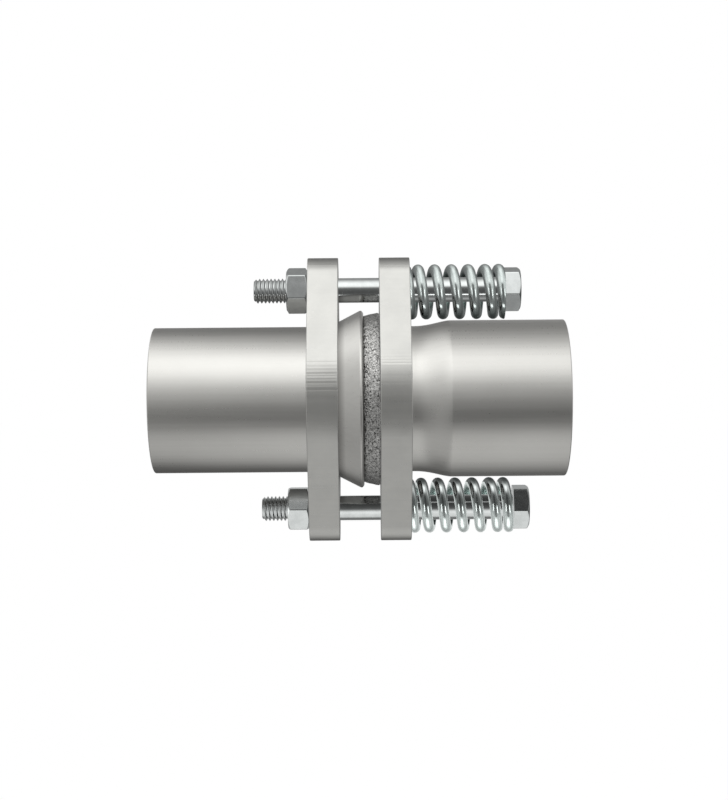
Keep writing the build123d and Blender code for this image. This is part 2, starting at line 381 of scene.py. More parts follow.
outlet_profile = [(NECK_X, BORE_R + 0.3), (NECK_X, PIPE_R - 0.3), (NECK_X + 0.3, PIPE_R)]
outlet_profile += swell(PIPE_R, SOCK_R)
outlet_profile += soft_end(X_END, SOCK_B, SOCK_R, 0.45, 0.35)
outlet_profile += swell(BORE_R, SOCK_B)[::-1]
outlet_profile += [(NECK_X + 0.3, BORE_R)]
v, f = lathe(outlet_profile, 288)
outlet = make("outlet_pipe_visual", v, f, pipe_mat)
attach(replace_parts(outlet, "outlet_pipe"), "outlet")

# ------------------------------------------------------------------ flange plates
G = FLANK
BELLY_R = BOLT_Z * math.sin(G) + LOBE_R - BELLY_Y * math.cos(G)


def outline(step):
    """Points (y, z, normal angle) round a plate's edge."""
    out = []

    def arc(c, r, a0, a1):
        n = max(2, int(r * abs(a1 - a0) / step))
        for i in range(n):
            a = a0 + (a1 - a0) * i / n
            out.append((c[0] + r * math.cos(a), c[1] + r * math.sin(a), a))

    def line(p, q, a):
        d = math.dist(p, q)
        n = max(2, int(d / step))
        for i in range(n):
            t = i / n
            out.append((p[0] + (q[0] - p[0]) * t, p[1] + (q[1] - p[1]) * t, a))

    def at(c, r, a):
        return (c[0] + r * math.cos(a), c[1] + r * math.sin(a))

    pi = math.pi
    right, left, top, bottom = (BELLY_Y, 0), (-BELLY_Y, 0), (0, BOLT_Z), (0, -BOLT_Z)
    arc(right, BELLY_R, -G, G)
    line(at(right, BELLY_R, G), at(top, LOBE_R, G), G)
    arc(top, LOBE_R, G, pi - G)
    line(at(top, LOBE_R, pi - G), at(left, BELLY_R, pi - G), pi - G)
    arc(left, BELLY_R, pi - G, pi + G)
    line(at(left, BELLY_R, pi + G), at(bottom, LOBE_R, pi + G), pi + G)
    arc(bottom, LOBE_R, pi + G, 2 * pi - G)
    line(at(bottom, LOBE_R, -G), at(right, BELLY_R, -G), -G)
    return out


def cut_marks(seed, dense):
    """Fine marks across the cut edge: groove places along z for each side, with depth and width."""
    rng = random.Random(seed)
    marks = {1: [], -1: []}
    for side in marks:
        z = -56.0
        while z < 56:
            z += rng.uniform(1.2, 7.0)
            marks[side].append((z, rng.uniform(0.004, 0.014), rng.uniform(0.22, 0.4)))
        for lo, hi, gap in dense:
            z = lo
            while z < hi:
                z += rng.uniform(0.6, 1.5) * gap
                marks[side].append((z, rng.uniform(0.020, 0.045) * rng.choice((1, 1, -0.7)), rng.uniform(0.2, 0.32)))
    waves = [(rng.uniform(0.004, 0.012), rng.uniform(7, 19), rng.uniform(0, 6.28)) for _ in range(5)]
    return marks, waves


def plate(name, x0, x1, holes, seed, dense, node, body):
    pts = outline(0.24)
    marks, waves = cut_marks(seed, dense)
    depth = []
    for y, z, a in pts:
        d = sum(w[0] * math.sin(2 * math.pi * z / w[1] + w[2] + (1.3 if y > 0 else 0)) for w in waves)
        for mz, md, mw in marks[1 if y > 0 else -1]:
            if abs(z - mz) < 3 * mw:
                d -= md * math.exp(-(((z - mz) / mw) ** 2))
        depth.append(d - 0.012)
    # edge loops: face, fillet, edge, fillet, face
    loops, k = [], 6
    for i in range(k + 1):
        t = math.pi / 2 * i / k
        loops.append((x0 + FL_EDGE * (1 - math.sin(t)), FL_EDGE * (1 - math.cos(t)), i / k))
    loops = [(x, FL_EDGE * (1 - math.sin(math.pi / 2 * i / k)), i / k) for i, (x, _, _) in enumerate(loops)]
    loops = [(x0 + FL_EDGE * (1 - math.cos(math.pi / 2 * i / k)), FL_EDGE * (1 - math.sin(math.pi / 2 * i / k)), i / k) for i in range(k + 1)]
    back = [(x1 - (x - x0), inset, w) for x, inset, w in loops[::-1]]
    mid = [(x0 + (x1 - x0) * t, 0.0, 1.0) for t in (0.25, 0.5, 0.75)]
    loops = loops + mid + back
    verts, faces = [], []
    n = len(pts)
    for x, inset, w in loops:
        for (y, z, a), d in zip(pts, depth):
            o = -inset + d * w
            verts.append((x, y + o * math.cos(a), z + o * math.sin(a)))
    for i in range(len(loops) - 1):
        for j in range(n):
            q = (j + 1) % n
            faces.append((i * n + j, i * n + q, (i + 1) * n + q, (i + 1) * n + j))
    first = [list(range(0, n))]
    last = [list(range((len(loops) - 1) * n, len(loops) * n))]
    for cz, prof, segs in holes:
        base = len(verts)
        for x, r in prof:
            for j in range(segs):
                t = 2 * math.pi * j / segs
                verts.append((x, r * math.cos(t), cz + r * math.sin(t)))
        for i in range(len(prof) - 1):
            for j in range(segs):
                q = (j + 1) % segs
                faces.append((base + i * segs + j, base + (i + 1) * segs + j, base + (i + 1) * segs + q, base + i * segs + q))
        first.append(list(range(base, base + segs)))
        last.append(list(range(base + (len(prof) - 1) * segs, base + len(prof) * segs)))
    for group in (first, last):
        flat = [i for loop in group for i in loop]
        tris = tessellate_polygon([[Vector((verts[i][1], verts[i][2], 0)) for i in loop] for loop in group])
        for t in tris:
            faces.append(tuple(flat[i] for i in t))
    ob = make(name, verts, faces, plate_mat, sharp=34, merge=0.0005)
    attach(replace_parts(ob, node), body)
    return ob


def bolt_hole(x0, x1, r, c=0.4):
    return [(x0, r + c), (x0 + c, r), (x1 - c, r), (x1, r + c)]


hole_r = PIPE_R + LOOSE
seat_x = TIP_X - (TIP_R + SEAT / CA - hole_r) / TA
seat_face_r = flare_out(X_FI1) + SEAT / CA
bend = rounded([(X_FI0, 20.0), (X_FI0 + 0.5, hole_r), (seat_x, hole_r), (X_FI1, seat_face_r)], [0, 0, 2.0, 0], 6)[2:-1]
inlet_hole = [(X_FI0, hole_r + 0.5), (X_FI0 + 0.5, hole_r)] + [p for p in bend if p[0] > X_FI0 + 0.6] + [(X_FI1, seat_face_r)]
plate(
    "inlet_flange_visual", X_FI0, X_FI1,
    [(0, inlet_hole, 240), (BOLT_Z, bolt_hole(X_FI0, X_FI1, 5.2), 72), (-BOLT_Z, bolt_hole(X_FI0, X_FI1, 5.2), 72)],
    11, [(2.5, 13.0, 1.0), (51.0, 54.0, 1.0)], "inlet_flange", "clamp",
)
rr = PIPE_R + 0.03
plate(
    "outlet_flange_visual", X_FO0, X_FO1,
    [(0, [(X_FO0, rr), (X_FO1, rr)], 240), (BOLT_Z, bolt_hole(X_FO0, X_FO1, 6.1), 72), (-BOLT_Z, bolt_hole(X_FO0, X_FO1, 6.1), 72)],
    23, [(11.5, 15.5, 1.0), (-6.0, -5.0, 1.2)], "outlet_flange", "outlet",
)

# ------------------------------------------------------------------ gasket: pressed knitted wire
G_BORE = PIPE_R + 0.1
g_back_r = math.sqrt(BALL_R**2 - (X_FO0 - BALL_X) ** 2)
g_front_r = math.sqrt(BALL_R**2 - (GF_X - BALL_X) ** 2)
BACK_ROUND = 0.9


def ball(x):
    return math.sqrt(max(0.0, BALL_R**2 - (x - BALL_X) ** 2))


prof, tag = [], []  # (x, r) and how far the surface may be worked there
for x in (75.0, 76.0, 77.0, 78.0, 79.0, 79.8):
    prof.append((x, ball(x)))
    tag.append(0.0)
x = 80.3
while x < X_FO0 - BACK_ROUND - 0.02:
    prof.append((x, ball(x)))
    tag.append(min(1.0, (x - 80.3) / 1.2))
    x += 0.175
x0b, r0b = X_FO0 - BACK_ROUND, ball(X_FO0 - BACK_ROUND)
for i in range(9):
    t = math.pi / 2 * i / 8
    prof.append((x0b + BACK_ROUND * math.sin(t), (g_back_r - BACK_ROUND) + (r0b - g_back_r + BACK_ROUND) * math.cos(t)))
    tag.append(1.0 - 0.9 * (i / 8) ** 2)
for r in (32.6, 31.5, 30.0):
    prof.append((X_FO0, r))
    tag.append(0.0)
prof += [(X_FO0, G_BORE), (82.0, G_BORE), (GF_X, G_BORE), (GF_X, 28.78)]
tag += [0.0] * 4
prof, tag = np.array(prof), np.array(tag)
NU = 1080
# surface length along the profile, and the height map of scattered pressed wires
seg = np.r_[0, np.cumsum(np.hypot(*np.diff(prof, axis=0).T))]
cell = 0.1
W, H = int(2 * math.pi * 34 / cell), int(seg[-1] / cell) + 2
height = np.full((W, H), 0.0, np.float32)
rng = np.random.default_rng(5)
N = 32000
cu, cv = rng.uniform(0, W * cell, N), rng.uniform(3, 17, N)
ang = rng.choice([0.55, -0.55, 1.2, -1.2, 0.1, 1.57], N) + rng.normal(0, 0.35, N)
curv = rng.choice([-1, 1], N) * rng.uniform(0.25, 1.3, N)
length = rng.uniform(0.4, 1.3, N)
lift = rng.uniform(0.25, 1.0, N)
for s in np.linspace(-0.5, 0.5, 17):
    a = ang + curv * s * length
    pu = cu + length * s * np.cos((ang + a) / 2)
    pv = cv + length * s * np.sin((ang + a) / 2)
    iu, iv = np.round(pu / cell).astype(int), np.round(pv / cell).astype(int)
    for du in (-2, -1, 0, 1, 2):
        for dv in (-2, -1, 0, 1, 2):
            qu, qv = iu + du, iv + dv
            d = np.hypot(qu * cell - pu, qv * cell - pv) / 0.135
            ok = (d < 1) & (qv >= 0) & (qv < H)
            h = lift * np.sqrt(np.clip(1 - d * d, 0, 1)) * (1 - 0.5 * abs(s))
            np.maximum.at(height, (qu[ok] % W, qv[ok]), h[ok].astype(np.float32))
low = np.zeros((W, H), np.float32)
for k in range(26):
    ku, kv, ph = rng.integers(8, 60), rng.uniform(0.3, 2.4), rng.uniform(0, 6.28)
    low += (np.sin(2 * np.pi * ku * np.arange(W)[:, None] / W + kv * np.arange(H)[None, :] * cell + ph) / 26).astype(np.float32)
verts, wires = [], []
n = len(prof)
tx = np.gradient(prof[:, 0])
tr = np.gradient(prof[:, 1])
tl = np.hypot(tx, tr)
nx, nr = -tr / tl, tx / tl
for j in range(NU):
    t = 2 * math.pi * j / NU
    col = height[int(j / NU * W) % W]
    lo = low[int(j / NU * W) % W]
    iv = np.clip((seg / cell).astype(int), 0, H - 1)
    h = col[iv]
    d = ((h - 0.6) * 0.24 + lo[iv] * 0.30) * tag
    px, pr = prof[:, 0] + nx * d, prof[:, 1] + nr * d
    c, s = math.cos(t), math.sin(t)
    verts += list(zip(px, pr * c, pr * s))
    wires += list(h)
faces = []
for j in range(NU):
    k = (j + 1) % NU
    for i in range(n):
        m = (i + 1) % n
        faces.append((j * n + i, k * n + i, k * n + m, j * n + m))
gasket = make("gasket_visual", verts, faces, mesh_mat, sharp=80, weighted=False)
layer = gasket.data.attributes.new("wire", "FLOAT", "POINT")
layer.data.foreach_set("value", np.array(wires, np.float32))
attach(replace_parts(gasket, "gasket"), "outlet")

# ------------------------------------------------------------------ bolts and nuts
SEGS = 72
# one pitch of the thread: share of the pitch, depth below the crest
THREAD = [(0.0, 0.80), (0.09, 0.78), (0.16, 0.70), (0.40, 0.09), (0.445, 0.02), (0.50, 0.0), (0.555, 0.02), (0.60, 0.09), (0.84, 0.70), (0.91, 0.78)]


def helical(x_from, x_to, radius, phase_x, z, sign=1):
    """A thread's skin between two planes as points and faces, with clean rings at both ends.
    radius(x, depth) gives the wall at a place along the axis; phase_x is where the thread starts."""
    m = len(THREAD)
    k0 = math.floor((x_from - phase_x) / PITCH) - 2
    turns = int(math.ceil((x_to - x_from) / PITCH)) + 4
    rows = turns * SEGS + 1
    verts, faces = [], []
    for j in range(rows):
        t = 2 * math.pi * j / SEGS
        c, s = math.cos(t), math.sin(t)
        for share, depth in THREAD:
            x = phase_x + PITCH * (k0 + j / SEGS + share)
            xc = min(max(x, x_from), x_to)
            r = radius(xc, depth)
            verts.append((xc, r * c, z + r * s))
    for j in range(rows - 1):
        for i in range(m):
            if i < m - 1:
                a, b2, c2, d = j * m + i, (j + 1) * m + i, (j + 1) * m + i + 1, j * m + i + 1
            else:
                if j + 1 + SEGS >= rows:
                    continue
                a, b2, c2, d = j * m + i, (j + 1) * m + i, (j + 1 + SEGS) * m, (j + SEGS) * m
            xs = [verts[q][0] for q in (a, b2, c2, d)]
            if max(xs) <= x_from + 1e-9 or min(xs) >= x_to - 1e-9:
                continue
            faces.append((a, b2, c2, d))
    return verts, faces


def circle(x, r, z, segs=SEGS):
    return [(x, r * math.cos(2 * math.pi * j / segs), z + r * math.sin(2 * math.pi * j / segs)) for j in range(segs)]


LOCAL = [-30, -29.3, -28.5, -27.4, -25.5, -21, -14, -7, 0, 7, 14, 21, 25.5, 27.4, 28.5, 29.3]


def hex_angles(turn):
    """Angles (from +Y towards +Z) round a hexagon with a corner at turn from -Y, sides in the middle of each 60 degrees."""
    out = []
    for k in range(6):
        # a corner is at 180 - turn (seen in the yz plane), so a side's middle is 30 degrees on
        mid = 180 - turn + 30 + 60 * k
        for a in LOCAL:
            out.append(mid + a)
    return out


def hex_radius(a_deg, turn, af, soft=0.55):
    """A hexagon's radius at an angle, with its corners softened."""
    local = (a_deg - (180 - turn)) % 60 - 30
    apo = af / 2
    r = apo / math.cos(math.radians(local))
    # corner arc of radius soft, centred on the corner's bisector
    rc = (apo - soft) / math.cos(math.radians(30))
    away = math.radians(30 - abs(local))
    disc = soft**2 - (rc * math.sin(away)) ** 2
    if disc > 0:
        r2 = rc * math.cos(away) + math.sqrt(disc)
        limit = math.atan2((apo - soft) * math.tan(math.radians(30)), apo)
        if abs(math.radians(local)) > limit:
            r = min(r, r2)
    return r


def ring_hex(x_of, scale, turn, af, z):
    pts = []
    for a in hex_angles(turn):
        r = hex_radius(a, turn, af)
        x, rr_ = x_of(r), scale(r)
        pts.append((x, rr_ * math.cos(math.radians(a)), z + rr_ * math.sin(math.radians(a))))
    return pts


def zip_rings(verts, faces, a, na, b, nb, z):
    """Triangles between two closed rings with different counts, ordered by angle."""

    def ang(i):
        return math.atan2(verts[i][2] - z, verts[i][1]) % (2 * math.pi)

    ia = sorted(range(a, a + na), key=ang)
    ib = sorted(range(b, b + nb), key=ang)
    i = j = 0
    while i < na or j < nb:
        ta = ang(ia[i]) if i < na else 99
        tb = ang(ib[j]) if j < nb else 99
        if ta <= tb:
            faces.append((ia[i], ia[(i + 1) % na], ib[j % nb]))
            i += 1
        else:
            faces.append((ib[j], ib[(j + 1) % nb], ia[i % na]))
            j += 1


def hex_body(verts, faces, x0, x1, af, turn, z, left, right):
    """Side walls of a hexagon with chamfered, softened ends. Returns the end rings' first indices and count."""
    face_r = af / 2 * 0.95
    tan30 = math.tan(math.radians(30))
    n = len(hex_angles(turn))
    rows = []

    def end(x, sgn, chamfer):
        """rows from the flat face outwards to the side wall"""
        out = []
        if chamfer:
            soft = 0.3
            out.append((lambda r, x=x: x, lambda r: face_r - 0.25))
            out.append((lambda r, x=x, s=sgn: x + s * 0.03, lambda r: face_r))
            out.append((lambda r, x=x, s=sgn: x + s * (0.03 + 0.25 * tan30), lambda r: face_r + 0.25))
            for q in (0.45, 0.18):
                out.append(
                    (
                        lambda r, x=x, s=sgn, q=q: x + s * max(0.03 + 0.25 * tan30, (r - q * soft * 2 - face_r) * tan30 + 0.03),
                        lambda r, q=q: max(face_r + 0.25, r - q * soft * 2),
                    )
                )
            out.append((lambda r, x=x, s=sgn: x + s * (max(0.25, r - face_r) * tan30 + 0.09), lambda r: r - 0.035))
            out.append((lambda r, x=x, s=sgn: x + s * (max(0.25, r - face_r) * tan30 + 0.26), lambda r: r))
        else:
            out.append((lambda r, x=x: x, lambda r: r - 0.25))
            out.append((lambda r, x=x, s=sgn: x + s * 0.07, lambda r: r - 0.07))
            out.append((lambda r, x=x, s=sgn: x + s * 0.25, lambda r: r))
        return out

    rows = end(x0, 1, left) + end(x1, -1, right)[::-1]
    first = len(verts)
    for x_of, scale in rows:
        verts += ring_hex(x_of, scale, turn, af, z)
    for i in range(len(rows) - 1):
        for j in range(n):
            k = (j + 1) % n
            faces.append((first + i * n + j, first + i * n + k, first + (i + 1) * n + k, first + (i + 1) * n + j))
    return first, first + (len(rows) - 1) * n, n


def bolt(name, tip, z, turn, node):
    head = tip + BOLT_LEN
    thread_end = tip + 28.0

    def radius(x, depth):
        r = THREAD_R - depth
        fade = max(0.0, min(1.0, (x - (thread_end - 3.0)) / 3.0))
        r = max(r, THREAD_R - 0.8 * (1 - fade))
        return min(r, 3.75 + (x - tip) * 0.95)

    verts, faces = helical(tip, thread_end, radius, tip - 0.4, z)
    # tip: a chamfered, slightly dished end
    base = len(verts)
    verts += circle(tip, 3.75, z) + circle(tip - 0.0, 3.55, z) + circle(tip + 0.12, 2.6, z)
    for k in range(2):
        for j in range(SEGS):
            q = (j + 1) % SEGS
            faces.append((base + k * SEGS + j, base + k * SEGS + q, base + (k + 1) * SEGS + q, base + (k + 1) * SEGS + j))
    verts.append((tip + 0.15, 0, z))
    c = len(verts) - 1
    for j in range(SEGS):
        faces.append((base + 2 * SEGS + j, base + 2 * SEGS + (j + 1) % SEGS, c))
    # shank, with the fillet under the head
    rows = [(thread_end, THREAD_R), (thread_end + 0.5, THREAD_R), (head - 0.4, THREAD_R), (head - 0.2, THREAD_R + 0.06), (head - 0.06, THREAD_R + 0.2), (head, THREAD_R + 0.4)]
    s0 = len(verts)
    for x, r in rows:
        verts += circle(x, r, z)
    for i in range(len(rows) - 1):
        for j in range(SEGS):
            q = (j + 1) % SEGS
            faces.append((s0 + i * SEGS + j, s0 + i * SEGS + q, s0 + (i + 1) * SEGS + q, s0 + (i + 1) * SEGS + j))
    a, b_, n_ = hex_body(verts, faces, head, head + HEAD_H, 15.8, turn, z, False, True)
    zip_rings(verts, faces, s0 + (len(rows) - 1) * SEGS, SEGS, a, n_, z)
    # the head's crown: a shallow dish in its middle
    ring = [hex_angles(turn)[j] for j in range(n_)]
    base = len(verts)
    for x, r in ((head + HEAD_H, 6.3), (head + HEAD_H - 0.06, 5.9), (head + HEAD_H - 0.15, 5.2)):
        verts += [(x, r * math.cos(math.radians(t)), z + r * math.sin(math.radians(t))) for t in ring]
    prev = b_
    for k in range(3):
        for j in range(n_):
            q = (j + 1) % n_
            faces.append((prev + j, prev + q, base + k * n_ + q, base + k * n_ + j))
        prev = base + k * n_
    verts.append((head + HEAD_H - 0.15, 0, z))
    c = len(verts) - 1
    for j in range(n_):
        faces.append((prev + j, prev + (j + 1) % n_, c))
    ob = make(name, verts, faces, bolt_mat, sharp=40, merge=0.002)
    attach(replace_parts(ob, node), "clamp")
    return ob


def nut(name, tip, z, turn, node):
    x0, x1, af = X_FI0 - 8.4, X_FI0, 16.0

    def radius(x, depth):
        r = THREAD_R - depth + 0.05
        return max(r, 5.15 - (x - x0), 5.15 - (x1 - x))

    verts, faces = helical(x0, x1, radius, tip - 0.4, z)
    a, b_, n_ = hex_body(verts, faces, x0, x1, af, turn, z, True, True)
    for x, ring in ((x0, a), (x1, b_)):
        base = len(verts)
        verts += circle(x, 5.15, z)
        zip_rings(verts, faces, base, SEGS, ring, n_, z)
    ob = make(name, verts, faces, bolt_mat, sharp=40, merge=0.002)
    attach(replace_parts(ob, node), "clamp")
    return ob


bolt("upper_bolt_visual", UP_TIP, BOLT_Z, -16.0, "upper_bolt")
bolt("lower_bolt_visual", LOW_TIP, -BOLT_Z, -8.0, "lower_bolt")
nut("upper_nut_visual", UP_TIP, BOLT_Z, -22.0, "upper_nut")
nut("lower_nut_visual", LOW_TIP, -BOLT_Z, -1.0, "lower_nut")

# ------------------------------------------------------------------ springs


def coil(name, x0, x1, z, start, spare, first_n, last_n, node):
    """Closed and ground ends; start and spare place the wire's centre at turns 0 and 6."""
    length = x1 - x0
    e0, e1, e2, e3 = 0.15, 0.75, 4.85, 5.15
    fixed = FIRST_PITCH * (e0 + (e1 - e0) / 2) + LAST_PITCH * ((e3 - e2) / 2 + 6 - e3)
    open_pitch = (length - start - spare - fixed) / ((e1 - e0) / 2 + (e2 - e1) + (e3 - e2) / 2)
    spans = ((e0, e1, FIRST_PITCH, open_pitch), (e1, e2, open_pitch, open_pitch), (e2, e3, open_pitch, LAST_PITCH))

    def at(n):
        x = start + FIRST_PITCH * min(n, e0)
        for lo, hi, p0, p1 in spans:
            s = min(max(n - lo, 0), hi - lo)
            x += p0 * s + (p1 - p0) * s * s / (2 * (hi - lo))
        return x + LAST_PITCH * max(n - e3, 0)

    def point(n):
        a = 2 * math.pi * n
        return np.array([x0 + at(n), COIL_R * math.sin(a), z - COIL_R * math.cos(a)])

    mid_x = x0 + at(3)
    halves = []
    for tag_, n0, n1 in (("a", first_n, 3.0), ("b", 3.0, last_n)):
        steps = int(round((n1 - n0) * 72))
        around = 32
        verts, faces, lee, bright = [], [], [], []
        for i in range(steps + 1):
            n = n0 + (n1 - n0) * i / steps
            p = point(n)
            t = point(n + 1e-4) - point(n - 1e-4)
            t /= np.linalg.norm(t)
            a = 2 * math.pi * n
            e = np.array([0.0, math.sin(a), -math.cos(a)])
            e = e - (e @ t) * t
            e /= np.linalg.norm(e)
            w = np.cross(t, e)
            for k in range(around):
                f_ = 2 * math.pi * k / around
                nrm = math.cos(f_) * e + math.sin(f_) * w
                verts.append(tuple(p + WIRE_R * nrm))
                # painted shade: the wire's inner side and the side facing the pipe are darkened
                inner = min(max((-math.cos(f_) - 0.05) / 0.6, 0.0), 1.0)
                near, far = (0.55, 0.95) if z > 0 else (0.70, 0.95)
                toward = min(max((-nrm[2] * math.copysign(1, z) - near) / (far - near), 0.0), 1.0)
                lee.append(max(inner, 0.75 * toward))
                # painted highlight: the upward-facing side of the lower spring's wire is lightened
                painted_highlight = min(max((nrm[2] - 0.30) / 0.3, 0.0), 1.0) * (z < 0) * (1 - inner)
                bright.append(painted_highlight)
        for i in range(steps):
            for k in range(around):
                q = (k + 1) % around
                faces.append((i * around + k, i * around + q, (i + 1) * around + q, (i + 1) * around + k))
        faces.append(tuple(range(around)))
        faces.append(tuple(range(steps * around, (steps + 1) * around)))
        ob = make(node + "_visual_" + tag_, verts, faces, wire_mat, sharp=50, weighted=False)
        layer = ob.data.attributes.new("lee", "FLOAT", "POINT")
        layer.data.foreach_set("value", lee)
        layer = ob.data.attributes.new("bright", "FLOAT", "POINT")
        layer.data.foreach_set("value", bright)
        bm = bmesh.new()
        bm.from_mesh(ob.data)
        for px, sgn in ((x0, -1), (x1, 1)):
            res = bmesh.ops.bisect_plane(
                bm, geom=bm.verts[:] + bm.edges[:] + bm.faces[:], dist=1e-7,
                plane_co=(px * MM, 0, 0), plane_no=(sgn, 0, 0), clear_outer=True,
            )
            rim = [g for g in res["geom_cut"] if isinstance(g, bmesh.types.BMEdge)]
            if rim:
                bmesh.ops.edgeloop_fill(bm, edges=rim)
        bmesh.ops.recalc_face_normals(bm, faces=bm.faces)
        bm.to_mesh(ob.data)
        bm.free()
        ob.data.polygons.foreach_set("use_smooth", [True] * len(ob.data.polygons))
        ob.data.set_sharp_from_angle(angle=math.radians(45))
        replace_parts(ob, node)
        halves.append(ob)
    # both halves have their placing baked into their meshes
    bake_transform(halves[0])
    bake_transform(halves[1])
    return halves


upper_halves = coil("upper_spring_visual", X_FO1, UP_TIP + BOLT_LEN, 42.0, 0.8, 0.05, -0.5, 6.3, "upper_spring")
lower_halves = coil("lower_spring_visual", X_FO1, LOW_TIP + BOLT_LEN, -42.0, 1.45, 1.5, -0.6, 6.2, "lower_spring")

# ------------------------------------------------------------------ floor
FLOOR_Z = -0.20
bm = bmesh.new()
for x, y in ((-14, -14), (14, -14), (14, 14), (-14, 14)):
    bm.verts.new((x, y, FLOOR_Z))
bm.faces.new(bm.verts)
me = bpy.data.meshes.new("floor")
bm.to_mesh(me)
bm.free()
floor = bpy.data.objects.new("floor", me)
scene.collection.objects.link(floor)
fm, nt, b = new_mat("floor_paint")
b.inputs["Metallic"].default_value = 0.0
b.inputs["Roughness"].default_value = 0.9
b.inputs["Specular IOR Level"].default_value = 0.0
b.inputs["Base Color"].default_value = (0.86, 0.86, 0.86, 1)
b.inputs["Emission Color"].default_value = (1, 1, 1, 1)
b.inputs["Emission Strength"].default_value = 1.0
me.materials.append(fm)
floor.visible_glossy = False

# ------------------------------------------------------------------ studio light
# White surroundings for the camera. The light itself comes from wide soft tents, one each for the
# pipes, the plates, the upper and lower fasteners and the upper and lower springs.
world = bpy.data.worlds.new("studio")
scene.world = world
world.use_nodes = True
nt = world.node_tree
nt.nodes.clear()
bg = nt.nodes.new("ShaderNodeBackground")
bg.inputs["Color"].default_value = (1, 1, 1, 1)
lp = nt.nodes.new("ShaderNodeLightPath")
nt.links.new(lp.outputs["Is Camera Ray"], bg.inputs["Strength"])
out = nt.nodes.new("ShaderNodeOutputWorld")
nt.links.new(bg.outputs[0], out.inputs["Surface"])

TOP = 2.5


def ramp_node(nt, share, stops):
    """Brightness by height angle: 0 faces the front, 90 the top, -90 the floor."""
    ramp = nt.nodes.new("ShaderNodeValToRGB")
    nt.links.new(share, ramp.inputs["Fac"])
    ramp.color_ramp.interpolation = "LINEAR"
    el = ramp.color_ramp.elements
    while len(el) > 1:
        el.remove(el[-1])
    for i, (deg, val) in enumerate(stops):
        pos = (deg + 180) / 360
        e = el[0] if i == 0 else el.new(pos)
        e.position = pos
        e.color = (val / TOP, val / TOP, val / TOP, 1)
    return ramp.outputs["Color"]


